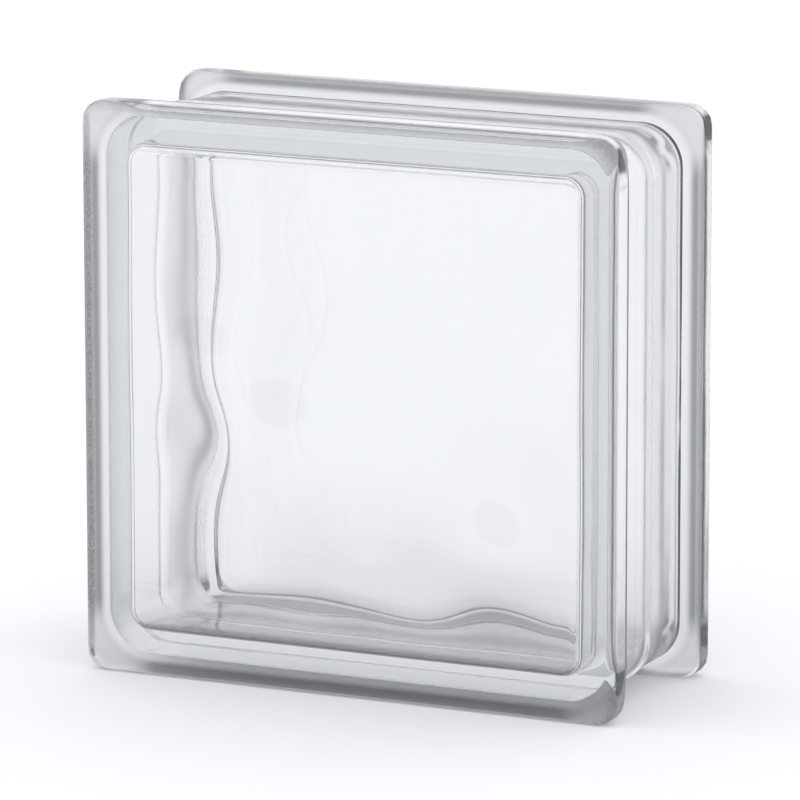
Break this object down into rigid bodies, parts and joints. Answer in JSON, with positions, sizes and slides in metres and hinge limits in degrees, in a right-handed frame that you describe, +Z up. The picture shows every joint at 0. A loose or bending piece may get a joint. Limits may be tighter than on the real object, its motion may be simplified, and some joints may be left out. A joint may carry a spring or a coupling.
{
  "type": "glass block",
  "caption": "Hollow pressed glass block with a wavy inner face on each pane and a mortar channel round its edges.",
  "frame": {"origin": "centre of the bottom face of the bounding box, on the level floor the block stands on", "axes": "+X along the width, +Y from the front pane to the rear pane, +Z up"},
  "size_m": [0.19, 0.08, 0.19],
  "materials": {
    "clear_glass": "fire-polished, clear, faintly cool grey in the thickness"
  },
  "bodies": {
    "root": {"front_half": "clear_glass", "rear_half": "clear_glass"}
  },
  "joints": []
}
